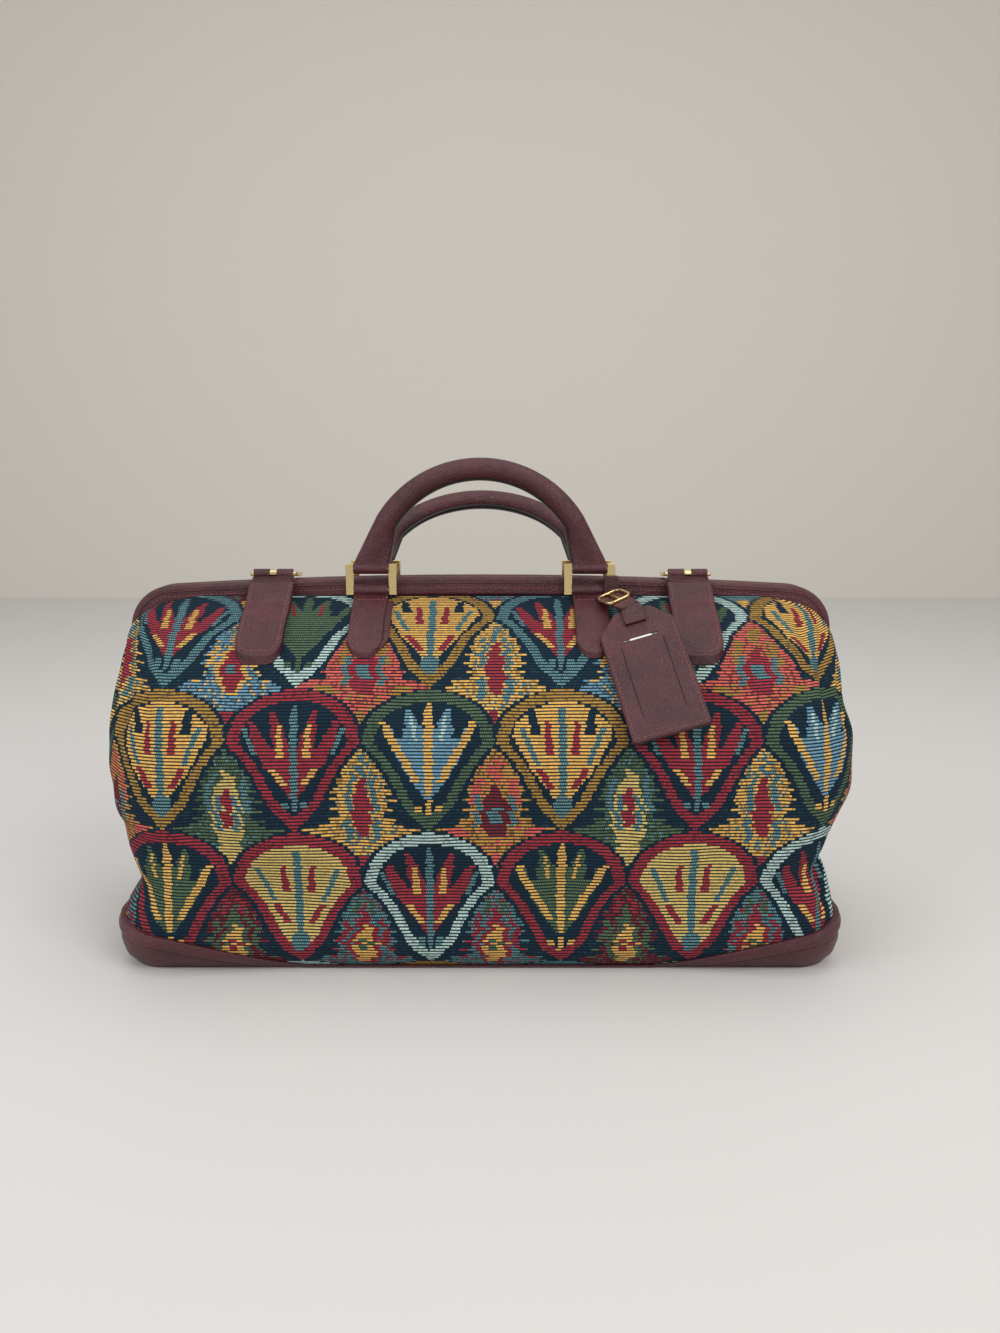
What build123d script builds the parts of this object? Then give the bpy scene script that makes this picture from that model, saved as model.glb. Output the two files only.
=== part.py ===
from build123d import *
import os

# Tapestry carpet bag with a hinged, leather-bound mouth frame, rolled handles, buckle tabs and a luggage tag.
# Millimetres. The origin is on the floor under the middle of the bag, +X runs along the bag, -Y is the front
# and +Z is up. The mouth is shut and the rear handle leans back.

# Body
BODY_LENGTH = 552.0
BODY_DEPTH = 216.0
BODY_TOP = 267.5
WALL = 2.6
BASE_LEATHER = 2.2
SKIN_GAP = 0.3
OVERRUN = 20.0

# Each row is a level of the body: height, length, depth and corner radius, as shares of
# BODY_TOP, BODY_LENGTH, BODY_DEPTH and BODY_DEPTH.
BODY_SECTION_SHARES = [
    (0.000, 0.945, 0.870, 0.12),
    (0.030, 0.962, 0.935, 0.14),
    (0.200, 0.955, 0.965, 0.19),
    (0.300, 0.950, 0.985, 0.23),
    (0.500, 1.000, 1.010, 0.27),
    (0.640, 1.002, 0.990, 0.28),
    (0.790, 0.985, 0.810, 0.26),
    (0.900, 0.972, 0.570, 0.21),
    (0.955, 0.935, 0.365, 0.14),
    (0.985, 0.865, 0.210, 0.08),
    (1.000, 0.785, 0.125, 0.04),
]

# Leather base with turned-up ends
END_LEATHER_HEIGHT = 46.0
END_LEATHER_RUN = 132.0
END_LEATHER_KNEE_SHARE = 0.45
WELT_DROP = 7.0
WELT_WIDTH = 3.2
WELT_RISE = 1.2
BASE_BOARD = 3.0
BASE_BOARD_MARGIN = 14.0

# Mouth frame
FRAME_INSET = 4.0
FRAME_LENGTH = BODY_LENGTH - 2 * FRAME_INSET
FRAME_TOP = 282.0
FRAME_RISE = 9.0
FRAME_CORNER = 34.0
HINGE_HEIGHT = 172.0
BINDING_WIDTH = 15.0
BINDING_DEPTH = 11.0
BINDING_EDGE = 3.0
FRAME_PARTING = 0.3
BAR_WIDTH = 9.0
BAR_DEPTH = 3.0
LUG_THICKNESS = 2.4
LUG_RADIUS = 6.0
LUG_GAP = 0.4
BINDING_ABOVE_HINGE = 9.0
PIN_RADIUS = 2.0
PIN_CLEARANCE = 0.05
PIN_HEAD_RADIUS = 3.6
PIN_HEAD = 1.2

# Handles
HANDLE_SPACING = 167.0
HANDLE_RADIUS = 7.8
HANDLE_RISE = 75.3
HANDLE_TAB = 5.0
HANDLE_FLARE_SHARE = 0.14
REAR_LEAN = 49.0

# Brass rings between the handles and their chapes
RING_INNER_WIDTH = 26.5
RING_BAR_WIDTH = 6.2
RING_BAR_DEPTH = 4.0
RING_HEIGHT = 24.0
RING_ROD_RADIUS = 1.9
RING_ROD_INSET = 3.6
RING_EDGE = 0.6
RING_FROM_BINDING = 2.8
RING_BOTTOM = 268.5
ROD_CLEARANCE = 0.06
EYE_WALL = 2.4
EYE_SIDE_GAP = 0.35

# Leather laid over the roof of the bag
LEATHER_EDGE = 1.1
UPPER_SIDE_SHARE = 0.2
CHAPE_WIDTH = 25.8
CHAPE_REACH = 74.0
CHAPE_THICKNESS = 4.2
CHAPE_END_SHARE = 0.42
CHAPE_PLY_SLIP = 4.5
CHAPE_PLY_START = 24.0
CHAPE_PLY_REACH = 70.0
TAB_SPACING = 320.0
TAB_WIDTH = 34.0
TAB_REACH = 78.0
TAB_THICKNESS = 3.4
TAB_END_SHARE = 0.32
TAB_NECK_LENGTH = 8.0
TAB_SLIP_SHARE = 0.8
BRIDGE_REACH = 32.0
BRIDGE_FOOT = 259.0
BILLET_WIDTH = 24.0
BILLET_START = 20.0
BILLET_REACH = 96.0
BILLET_THICKNESS = 3.0
BILLET_END_SHARE = 0.46
BILLET_HOLE_RADIUS = 1.8
BILLET_HOLE_PITCH = 14.0
BILLET_HOLES = 3

# Strap buckles
BUCKLE_WIDTH = 37.0
BUCKLE_REACH = 25.0
BUCKLE_BAR = 3.2
BUCKLE_CORNER = 4.0
BUCKLE_EDGE = 0.7
BUCKLE_DROP = 6.0
HEEL_RADIUS = 1.5
HEEL_BACK = 7.0
PRONG_RADIUS = 1.3
PRONG_RISE = 8.0
PRONG_EYE_WALL = 1.4
PRONG_EYE_WIDTH = 5.0
PRONG_SLOT_GAP = 0.6
PRONG_SLOT_LENGTH = 7.0
PRONG_OVERHANG = 1.5

# Luggage tag, with the places of its top and foot on the back of the tag
TAG_TOP_DEPTH_SHARE = 0.5407
TAG_FOOT_DEPTH_SHARE = 1.1148
TAG_TOP = (111.0, -TAG_TOP_DEPTH_SHARE * BODY_DEPTH / 2, 261.3)
TAG_FOOT = (133.5, -TAG_FOOT_DEPTH_SHARE * BODY_DEPTH / 2, 184.3)
TAG_WIDTH = 56.0
TAG_THICKNESS = 3.6
TAG_SHOULDER = 15.0
TAG_CORNER = 3.0
TAG_CARD = 0.5
TAG_CARD_GAP = 0.15
TAG_CARD_MARGIN = 8.0
TAG_SLIT = 1.2
TAG_SLOT_HEIGHT = 3.0
TAG_SLOT_DROP = 11.0
TAG_STRAP_WIDTH = 15.0
TAG_STRAP_THICKNESS = 2.0
TAG_STRAP_GAP = 0.3
TAG_STRAP_START = (94.0, -26.8, 269.6)
TAG_STRAP_BEAD = 1.2
TAG_BUCKLE_SIDE = 21.0
TAG_BUCKLE_BAR = 2.0
TAG_BUCKLE_CORNER = 6.0
TAG_BUCKLE_PLACE_SHARE = 0.4
LOOP_HEIGHT = 6.0
LOOP_THICKNESS = 1.4
LOOP_FRONT_GAP = 2.6
LOOP_SIDE_GAP = 0.7


def rounded_level(height, length, depth, corner):
    """A level outline of the body, corners rounded."""
    return Plane.XY.offset(height) * RectangleRounded(length, depth, corner)


def body_solid(grow, floor):
    """The filled body, grown sideways by `grow`, from `floor` up to the top of the roof."""
    levels = []
    for height_share, length_share, depth_share, corner_share in BODY_SECTION_SHARES:
        height = floor + (BODY_TOP - floor) * height_share
        length = BODY_LENGTH * length_share + 2 * grow
        depth = BODY_DEPTH * depth_share + 2 * grow
        levels.append(rounded_level(height, length, depth, BODY_DEPTH * corner_share + grow))
    return loft(levels)


def slab(low, high):
    """An axis-aligned block between two corners."""
    size = [b - a for a, b in zip(low, high)]
    middle = [(a + b) / 2 for a, b in zip(low, high)]
    return Pos(*middle) * Box(*size)


def half_space(y_low, y_high, z_low, z_high):
    """A block as long as the bag, between two depths and two heights."""
    return slab((-BODY_LENGTH, y_low, z_low), (BODY_LENGTH, y_high, z_high))


def mirrored(shape):
    """The same piece at the other side of the mouth."""
    return mirror(shape, about=Plane.XZ)


CLOTH_FLOOR = BASE_LEATHER
CLOTH = body_solid(0, CLOTH_FLOOR)
CLOTH_EDGE = FRAME_PARTING + BINDING_DEPTH + SKIN_GAP
FAR = BODY_LENGTH


def cloth_shell():
    """The tapestry wall, open under the mouth frame."""
    inside = body_solid(-WALL, CLOTH_FLOOR + WALL)
    mouth = half_space(-CLOTH_EDGE, CLOTH_EDGE, HINGE_HEIGHT, FRAME_TOP)
    return CLOTH - inside - mouth


def panels():
    """Front panel, and the rear one in two: its wall, and its roof that goes with the rear frame."""
    shell = cloth_shell()
    front = shell & half_space(-FAR, 0, 0, FRAME_TOP)
    rear = shell & half_space(0, FAR, 0, HINGE_HEIGHT)
    roof = shell & half_space(0, FAR, HINGE_HEIGHT, FRAME_TOP)
    return {"front_panel": front, "rear_panel": rear, "rear_panel_roof": roof}


def end_leather_outline(drop):
    """Side outline of one turned-up leather end, `drop` under its edge, as a prism through the bag."""
    outer = BODY_LENGTH / 2 + OVERRUN
    inner = BODY_LENGTH * BODY_SECTION_SHARES[0][1] / 2 - END_LEATHER_RUN
    knee_x = inner + END_LEATHER_RUN * END_LEATHER_KNEE_SHARE
    knee_z = END_LEATHER_HEIGHT * END_LEATHER_KNEE_SHARE - drop
    foot_z = BASE_LEATHER - drop
    head_z = END_LEATHER_HEIGHT - drop
    with BuildSketch(Plane.XZ) as outline:
        with BuildLine():
            Polyline((inner, foot_z), (inner, -OVERRUN), (outer, -OVERRUN), (outer, head_z))
            Spline((outer, head_z), (knee_x, knee_z), (inner, foot_z))
        make_face()
    return extrude(outline.sketch, amount=BODY_DEPTH, both=True)


def leather_base():
    """One leather bottom, its two ends turned up round the corners, with a welt under each top edge."""
    outside = body_solid(BASE_LEATHER, 0)
    skin = outside - body_solid(SKIN_GAP / 2, CLOTH_FLOOR)
    end = end_leather_outline(0)
    kept = end + mirror(end, about=Plane.YZ) + half_space(-FAR, FAR, -OVERRUN, CLOTH_FLOOR)
    stripe = end_leather_outline(WELT_DROP) - end_leather_outline(WELT_DROP + WELT_WIDTH)
    stripe &= half_space(-FAR, FAR, BASE_LEATHER + WELT_WIDTH, END_LEATHER_HEIGHT)
    welt = (body_solid(BASE_LEATHER + WELT_RISE, 0) - outside) & stripe
    return (skin & kept) + welt + mirror(welt, about=Plane.YZ)


def base_board():
    """Stiffening board that lies inside on the bottom."""
    length = BODY_LENGTH * BODY_SECTION_SHARES[0][1] - 2 * BASE_BOARD_MARGIN
    depth = BODY_DEPTH * BODY_SECTION_SHARES[0][2] - 2 * BASE_BOARD_MARGIN
    corner = BODY_DEPTH * BODY_SECTION_SHARES[0][3] - BASE_BOARD_MARGIN
    floor = CLOTH_FLOOR + WALL
    return extrude(rounded_level(floor, length, depth, corner), amount=BASE_BOARD)


def frame_outline(inset):
    """Front view of the area inside the frame, `inset` in from its outer edge, open to the hinge."""
    half = FRAME_LENGTH / 2 - inset
    shoulder = FRAME_TOP - FRAME_RISE - inset
    with BuildSketch(Plane.XZ) as outline:
        with BuildLine():
            Polyline((-half, shoulder), (-half, 0), (half, 0), (half, shoulder))
            ThreePointArc((half, shoulder), (0, FRAME_TOP - inset), (-half, shoulder))
        make_face()
        top = outline.vertices().group_by(Axis.Z)[-1]
        fillet(top, FRAME_CORNER - inset)
    return outline.sketch


def frame_band(outer_inset, inner_inset, y_low, y_high, z_low):
    """A U-shaped band of the frame between two insets and two depths, down to z_low."""
    band = frame_outline(outer_inset) - frame_outline(inner_inset)
    solid = Pos(0, y_high, 0) * extrude(band, amount=y_high - y_low)
    return solid & half_space(y_low, y_high, z_low, FRAME_TOP + OVERRUN)


BINDING_END = HINGE_HEIGHT + BINDING_ABOVE_HINGE
BAR_INSET = (BINDING_WIDTH - BAR_WIDTH) / 2
BAR_NEAR = FRAME_PARTING + (BINDING_DEPTH - BAR_DEPTH) / 2
BAR_FAR = BAR_NEAR + BAR_DEPTH
BAR_OUTER = FRAME_LENGTH / 2 - BAR_INSET


def hinge_lug(outer_face):
    """End of a frame bar at the right: an upright lug that reaches the hinge axis, with its pin hole."""
    inner_face = outer_face - LUG_THICKNESS
    with BuildSketch(Plane.YZ) as outline:
        with BuildLine():
            Polyline(
                (BAR_FAR, BINDING_END),
                (BAR_NEAR, BINDING_END),
                (-LUG_RADIUS, HINGE_HEIGHT),
                (0, HINGE_HEIGHT - LUG_RADIUS),
                (BAR_FAR, HINGE_HEIGHT),
                close=True,
            )
        make_face()
        with Locations((0, HINGE_HEIGHT)):
            Circle(LUG_RADIUS)
        with Locations((0, HINGE_HEIGHT)):
            Circle(PIN_RADIUS + PIN_CLEARANCE, mode=Mode.SUBTRACT)
    return Pos(inner_face, 0, 0) * extrude(outline.sketch, amount=LUG_THICKNESS)


FRONT_LUG_FACE = BAR_OUTER - LUG_GAP
REAR_LUG_FACE = FRONT_LUG_FACE - LUG_THICKNESS - LUG_GAP


def frame_bar(lug_face):
    """Steel bar of the rear half, with a lug at each end."""
    bar = frame_band(BAR_INSET, BAR_INSET + BAR_WIDTH, BAR_NEAR, BAR_FAR, BINDING_END)
    lug = hinge_lug(lug_face)
    return bar + lug + mirror(lug, about=Plane.YZ)


def frame_binding():
    """Leather casing of the rear half, closed round its steel bar."""
    y_low, y_high = FRAME_PARTING, FRAME_PARTING + BINDING_DEPTH
    casing = frame_band(0, BINDING_WIDTH, y_low, y_high, BINDING_END)
    rims = casing.faces().filter_by(Axis.Y).edges()
    rims = [edge for edge in rims if edge.center().Z > BINDING_END + SKIN_GAP]
    casing = fillet(rims, BINDING_EDGE)
    core = frame_band(BAR_INSET, BAR_INSET + BAR_WIDTH, BAR_NEAR, BAR_FAR, BINDING_END)
    return casing - core


def hinge_pin():
    """Rivet through both lugs at the right end."""
    inner = REAR_LUG_FACE - LUG_THICKNESS - LUG_GAP
    outer = FRONT_LUG_FACE + LUG_GAP
    turned = Plane.YZ * Circle(PIN_RADIUS)
    head = Plane.YZ * Circle(PIN_HEAD_RADIUS)
    shank = Pos(inner, 0, HINGE_HEIGHT) * extrude(turned, amount=outer - inner)
    inner_head = Pos(inner - PIN_HEAD, 0, HINGE_HEIGHT) * extrude(head, amount=PIN_HEAD)
    outer_head = Pos(outer, 0, HINGE_HEIGHT) * extrude(head, amount=PIN_HEAD)
    return shank + inner_head + outer_head


RING_DEPTH = -(FRAME_PARTING + BINDING_DEPTH + RING_FROM_BINDING + RING_BAR_DEPTH / 2)
RING_TOP = RING_BOTTOM + RING_HEIGHT
UPPER_ROD = RING_TOP - RING_ROD_INSET
LOWER_ROD = RING_BOTTOM + RING_ROD_INSET
EYE_RADIUS = RING_ROD_RADIUS + ROD_CLEARANCE + EYE_WALL
EYE_LENGTH = RING_INNER_WIDTH - 2 * EYE_SIDE_GAP


def along_x(radius, length, y, z):
    """A rod along X, centred at x = 0."""
    return Pos(0, y, z) * Rot(0, 90, 0) * Cylinder(radius, length)


def brass_ring():
    """Rectangular ring at x = 0: two flat side bars and the two rods that the leather goes round."""
    side_x = (RING_INNER_WIDTH + RING_BAR_WIDTH) / 2
    middle = (RING_BOTTOM + RING_TOP) / 2
    bar = Box(RING_BAR_WIDTH, RING_BAR_DEPTH, RING_HEIGHT)
    bar = fillet(bar.edges(), RING_EDGE)
    rod_length = RING_INNER_WIDTH + RING_BAR_WIDTH
    ring = Pos(side_x, RING_DEPTH, middle) * bar + Pos(-side_x, RING_DEPTH, middle) * bar
    ring += along_x(RING_ROD_RADIUS, rod_length, RING_DEPTH, UPPER_ROD)
    ring += along_x(RING_ROD_RADIUS, rod_length, RING_DEPTH, LOWER_ROD)
    return ring


def handle_end(path):
    """Left end of a handle: the rolled leather flattens into a tab with an eye on the ring's rod."""
    x = -HANDLE_SPACING / 2
    roll_plane = Plane(path @ HANDLE_FLARE_SHARE, z_dir=path % HANDLE_FLARE_SHARE)
    roll = roll_plane * Circle(HANDLE_RADIUS)
    tab_height = UPPER_ROD + EYE_RADIUS
    foot = Plane((x, RING_DEPTH, tab_height)) * RectangleRounded(EYE_LENGTH, HANDLE_TAB, HANDLE_TAB / 3)
    flare = loft([foot, roll])
    neck = slab(
        (x - EYE_LENGTH / 2, RING_DEPTH - HANDLE_TAB / 2, UPPER_ROD),
        (x + EYE_LENGTH / 2, RING_DEPTH + HANDLE_TAB / 2, tab_height),
    )
    eye = Pos(x, 0, 0) * along_x(EYE_RADIUS, EYE_LENGTH, RING_DEPTH, UPPER_ROD)
    bore = Pos(x, 0, 0) * along_x(RING_ROD_RADIUS + ROD_CLEARANCE, FAR, RING_DEPTH, UPPER_ROD)
    return flare + (neck + eye - bore)


def handle():
    """Front handle, upright: a rolled arch between two flattened ends."""
    half = HANDLE_SPACING / 2
    foot = UPPER_ROD + EYE_RADIUS
    crown = UPPER_ROD + HANDLE_RISE
    path = ThreePointArc((-half, RING_DEPTH, foot), (0, RING_DEPTH, crown), (half, RING_DEPTH, foot))
    rolled = path.trim(HANDLE_FLARE_SHARE, 1 - HANDLE_FLARE_SHARE)
    arch = sweep(Plane(rolled @ 0, z_dir=rolled % 0) * Circle(HANDLE_RADIUS), rolled)
    end = handle_end(path)
    return arch + end + mirror(end, about=Plane.YZ)


FRAME_ARC_SHARE = ((TAB_SPACING - TAB_WIDTH) / FRAME_LENGTH) ** 2
TAB_SEAT = FRAME_TOP - FRAME_RISE * FRAME_ARC_SHARE


def roof_support():
    """What the tabs lie on: the cloth, the shut frame, and the slope that bridges from one to the other."""
    frame = extrude(frame_outline(0), amount=FRAME_PARTING + BINDING_DEPTH)
    brow = TAB_SEAT - BINDING_EDGE
    with BuildSketch(Plane.YZ) as bridge:
        with BuildLine():
            Polyline(
                (0, brow),
                (-CLOTH_EDGE, brow),
                (-BRIDGE_REACH, BRIDGE_FOOT),
                (-BRIDGE_REACH, HINGE_HEIGHT),
                (0, HINGE_HEIGHT),
                close=True,
            )
        make_face()
    return CLOTH + frame + extrude(bridge.sketch, amount=TAB_SPACING, both=True)


SUPPORT = roof_support()


def draped(outline, thickness, support, slip_share):
    """Leather of a plan outline laid on a support; it stands off forwards by a share of its thickness."""
    prism = Pos(0, 0, HINGE_HEIGHT) * extrude(outline, amount=FRAME_TOP)
    lift = SKIN_GAP + thickness
    over = prism & (Pos(0, -slip_share * lift, lift) * support)
    return over - Pos(0, -slip_share * SKIN_GAP, SKIN_GAP) * support


def softened(leather):
    """The same leather with the edges of its upper side rounded."""
    upper = [face for face in leather.faces() if face.normal_at(face.center()).Z > UPPER_SIDE_SHARE]
    edges = ShapeList()
    for face in upper:
        edges += face.edges()
    return fillet(edges, LEATHER_EDGE)


def strap_plan(width, start, reach, end_share):
    """Plan of a strap at x = 0 that runs forwards from `start` to a rounded end at `reach`."""
    with BuildSketch() as plan:
        with Locations((0, -(start + reach) / 2)):
            Rectangle(width, reach - start)
        fillet(plan.vertices().group_by(Axis.Y)[0], width * end_share)
    return plan.sketch


def chape(x, slip):
    """Leather that holds a front ring: an eye on its lower rod and a tongue of two plies, one slipped."""
    plan = Pos(x, 0, 0) * strap_plan(CHAPE_WIDTH, -RING_DEPTH, CHAPE_REACH, CHAPE_END_SHARE)
    under = Pos(x + slip, 0, 0) * strap_plan(CHAPE_WIDTH, CHAPE_PLY_START, CHAPE_PLY_REACH, CHAPE_END_SHARE)
    tongue = softened(draped(plan, CHAPE_THICKNESS, CLOTH, 0))
    tongue += softened(draped(under, CHAPE_THICKNESS / 2, CLOTH, 0))
    eye = Pos(x, 0, 0) * along_x(EYE_RADIUS, EYE_LENGTH, RING_DEPTH, LOWER_ROD)
    bore = Pos(x, 0, 0) * along_x(RING_ROD_RADIUS + ROD_CLEARANCE, FAR, RING_DEPTH, LOWER_ROD)
    return tongue + eye - bore


HEEL_EYE_RADIUS = HEEL_RADIUS + ROD_CLEARANCE + EYE_WALL
HEEL_HEIGHT = TAB_SEAT + SKIN_GAP + HEEL_EYE_RADIUS
HEEL_EYE_LENGTH = BUCKLE_WIDTH - 2 * BUCKLE_BAR - 2 * EYE_SIDE_GAP


def closure_tab(x):
    """Leather tab over the front rail and down the roof, with an eye for its buckle and a prong slot."""
    wide = strap_plan(TAB_WIDTH, HEEL_BACK + TAB_NECK_LENGTH, TAB_REACH, TAB_END_SHARE)
    neck_length = TAB_NECK_LENGTH + LEATHER_EDGE
    neck = Pos(0, -HEEL_BACK - neck_length / 2, 0) * Rectangle(HEEL_EYE_LENGTH, neck_length)
    leather = softened(draped(Pos(x, 0, 0) * wide, TAB_THICKNESS, SUPPORT, TAB_SLIP_SHARE))
    leather += draped(Pos(x, 0, 0) * neck, TAB_THICKNESS, SUPPORT, TAB_SLIP_SHARE)
    eye = Pos(x, 0, 0) * along_x(HEEL_EYE_RADIUS, HEEL_EYE_LENGTH, -HEEL_BACK, HEEL_HEIGHT)
    bore = Pos(x, 0, 0) * along_x(HEEL_RADIUS + ROD_CLEARANCE, FAR / 2, -HEEL_BACK, HEEL_HEIGHT)
    slot_half = PRONG_EYE_WIDTH / 2 + PRONG_SLOT_GAP
    slot = slab(
        (x - slot_half, -HEEL_BACK - PRONG_SLOT_LENGTH, HINGE_HEIGHT),
        (x + slot_half, HEEL_EYE_RADIUS, FRAME_TOP + OVERRUN),
    )
    return leather + eye - bore - slot


def billet(x):
    """Strap that the tab buckles to, unfastened and lying down its own side of the roof."""
    plan = Pos(x, 0, 0) * strap_plan(BILLET_WIDTH, BILLET_START, BILLET_REACH, BILLET_END_SHARE)
    strap = softened(draped(plan, BILLET_THICKNESS, CLOTH, 0))
    for step in range(BILLET_HOLES):
        y = -BILLET_REACH + BILLET_WIDTH + step * BILLET_HOLE_PITCH
        strap -= Pos(x, y, FRAME_TOP) * Cylinder(BILLET_HOLE_RADIUS, FRAME_TOP)
    return strap


def on_heel(shape, x, turn):
    """A buckle piece drawn at the origin, reaching +Y, put on the heel bar of the tab at x."""
    return Pos(x, -HEEL_BACK, HEEL_HEIGHT) * Rot(turn, 0, 0) * shape


def buckle(x):
    """Open rectangular buckle lying over the shut rails, its heel bar in the eye of the tab."""
    low = -BUCKLE_BAR / 2
    middle = low + BUCKLE_REACH / 2
    outer = Pos(0, middle, 0) * RectangleRounded(BUCKLE_WIDTH, BUCKLE_REACH, BUCKLE_CORNER)
    inner_width = BUCKLE_WIDTH - 2 * BUCKLE_BAR
    inner = Pos(0, low - BUCKLE_BAR + BUCKLE_REACH / 2, 0) * Rectangle(inner_width, BUCKLE_REACH)
    sides = extrude(outer - inner, amount=BUCKLE_BAR / 2, both=True)
    rims = sides.faces().filter_by(Axis.Z).edges()
    frame = fillet(rims, BUCKLE_EDGE) + along_x(HEEL_RADIUS, BUCKLE_WIDTH - BUCKLE_BAR, 0, 0)
    return on_heel(frame, x, -BUCKLE_DROP)


def prong(x):
    """Buckle pin: an eye on the heel bar and a round shank that rests over the outer bar."""
    eye_radius = HEEL_RADIUS + ROD_CLEARANCE + PRONG_EYE_WALL
    eye = along_x(eye_radius, PRONG_EYE_WIDTH, 0, 0)
    bore = along_x(HEEL_RADIUS + ROD_CLEARANCE, FAR, 0, 0)
    length = BUCKLE_REACH - BUCKLE_BAR / 2 + PRONG_OVERHANG
    shank = Plane.XZ * Circle(PRONG_RADIUS)
    shank = extrude(shank, amount=-length) + Pos(0, length, 0) * Sphere(PRONG_RADIUS)
    return on_heel(eye + shank - bore, x, PRONG_RISE - BUCKLE_DROP)


TAG_UP = (Vector(*TAG_TOP) - Vector(*TAG_FOOT)).normalized()
TAG_LENGTH = (Vector(*TAG_TOP) - Vector(*TAG_FOOT)).length
TAG_ACROSS = TAG_UP.cross(Vector(0, -1, 0)).normalized()
TAG_FACING = TAG_ACROSS.cross(TAG_UP)
TAG_PLANE = Plane(TAG_TOP, x_dir=TAG_ACROSS, z_dir=TAG_FACING)


def tag_outline():
    """Front outline of the tag with its cut shoulders."""
    half = TAG_WIDTH / 2
    top = half - TAG_SHOULDER
    with BuildSketch() as outline:
        with BuildLine():
            Polyline(
                (-top, 0),
                (top, 0),
                (half, -TAG_SHOULDER),
                (half, -TAG_LENGTH),
                (-half, -TAG_LENGTH),
                (-half, -TAG_SHOULDER),
                close=True,
            )
        make_face()
        fillet(outline.vertices(), TAG_CORNER)
    return outline.sketch


def card_plan(gap):
    """Outline of the name card, below the shoulders of the tag."""
    width = TAG_WIDTH - 2 * TAG_CARD_MARGIN + 2 * gap
    height = TAG_LENGTH - TAG_SHOULDER - 2 * TAG_CARD_MARGIN + 2 * gap
    middle = -(TAG_LENGTH + TAG_SHOULDER) / 2
    return Pos(0, middle, 0) * Rectangle(width, height)


def tag_body():
    """Leather tag with a pocket for the card, a slit to the pocket and a slot for the strap."""
    body = extrude(tag_outline(), amount=TAG_THICKNESS)
    body = fillet(body.faces().sort_by(Axis.Z)[-1].edges(), LEATHER_EDGE)
    pocket_floor = (TAG_THICKNESS - TAG_CARD) / 2 - TAG_CARD_GAP
    body -= Pos(0, 0, pocket_floor) * extrude(card_plan(TAG_CARD_GAP), amount=TAG_CARD + 2 * TAG_CARD_GAP)
    slit_width = TAG_WIDTH - 2 * TAG_SHOULDER
    slit_y = -TAG_SHOULDER - TAG_CARD_MARGIN - TAG_SLIT / 2
    body -= Pos(0, slit_y, TAG_THICKNESS) * Box(slit_width, TAG_SLIT, TAG_THICKNESS)
    slot_width = TAG_STRAP_WIDTH + 2 * TAG_STRAP_GAP
    body -= Pos(0, -TAG_SLOT_DROP, 0) * Box(slot_width, TAG_SLOT_HEIGHT, OVERRUN)
    return TAG_PLANE * body


def tag_card():
    """Name card inside the tag."""
    return TAG_PLANE * (Pos(0, 0, (TAG_THICKNESS - TAG_CARD) / 2) * extrude(card_plan(0), amount=TAG_CARD))


def strap_run(start, end):
    """Straight run of the tag's strap between two points of its middle line."""
    along = Vector(*end) - Vector(*start)
    across = TAG_ACROSS - along * (TAG_ACROSS.dot(along) / along.length**2)
    plane = Plane(start, x_dir=across.normalized(), z_dir=along.normalized())
    return extrude(plane * Rectangle(TAG_STRAP_WIDTH, TAG_STRAP_THICKNESS), amount=along.length)


STRAP_OFF_TAG = TAG_THICKNESS + TAG_STRAP_GAP + TAG_STRAP_THICKNESS / 2
STRAP_BEND = TAG_PLANE.from_local_coords(Vector(0, TAG_STRAP_THICKNESS, STRAP_OFF_TAG))
STRAP_TURN = TAG_PLANE.from_local_coords(Vector(0, -TAG_SLOT_DROP, STRAP_OFF_TAG))
STRAP_END = TAG_PLANE.from_local_coords(Vector(0, -TAG_SLOT_DROP, 0))
STRAP_ALONG = STRAP_BEND - Vector(*TAG_STRAP_START)
STRAP_ACROSS = (TAG_ACROSS - STRAP_ALONG * (TAG_ACROSS.dot(STRAP_ALONG) / STRAP_ALONG.length**2)).normalized()


def tag_strap():
    """Strap of the tag: from a rolled end at the ring over the top of the tag, and in through its slot."""
    bend = along_x(TAG_STRAP_THICKNESS / 2, TAG_STRAP_WIDTH, 0, 0)
    turn = Plane(origin=(0, 0, 0), x_dir=TAG_ACROSS, z_dir=TAG_FACING)
    upper = strap_run(TAG_STRAP_START, STRAP_BEND)
    rolled = Plane(TAG_STRAP_START, z_dir=STRAP_ACROSS) * Circle(TAG_STRAP_BEAD)
    bead = extrude(rolled, amount=TAG_STRAP_WIDTH / 2, both=True)
    lower = strap_run(STRAP_BEND, STRAP_TURN)
    inward = strap_run(STRAP_TURN, STRAP_END)
    first = Pos(*STRAP_BEND) * (turn * bend)
    second = Pos(*STRAP_TURN) * (turn * bend)
    return upper + lower + inward + first + second + bead


def tag_buckle():
    """Small rounded buckle on the tag's strap, with its pin."""
    facing = STRAP_ALONG.cross(STRAP_ACROSS).normalized()
    seat = TAG_STRAP_THICKNESS / 2 + TAG_STRAP_GAP
    place = Vector(*TAG_STRAP_START) + STRAP_ALONG * TAG_BUCKLE_PLACE_SHARE + facing * seat
    inner_side = TAG_BUCKLE_SIDE - 2 * TAG_BUCKLE_BAR
    ring = RectangleRounded(TAG_BUCKLE_SIDE, TAG_BUCKLE_SIDE, TAG_BUCKLE_CORNER)
    ring -= RectangleRounded(inner_side, inner_side, TAG_BUCKLE_CORNER - TAG_BUCKLE_BAR)
    frame = extrude(ring, amount=TAG_BUCKLE_BAR)
    frame = fillet(frame.edges(), TAG_BUCKLE_BAR / 4)
    pin = Pos(0, 0, TAG_BUCKLE_BAR / 2) * Box(TAG_BUCKLE_BAR, inner_side, TAG_BUCKLE_BAR / 2)
    return Plane(place, x_dir=STRAP_ACROSS, z_dir=facing) * (frame + pin)


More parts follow.
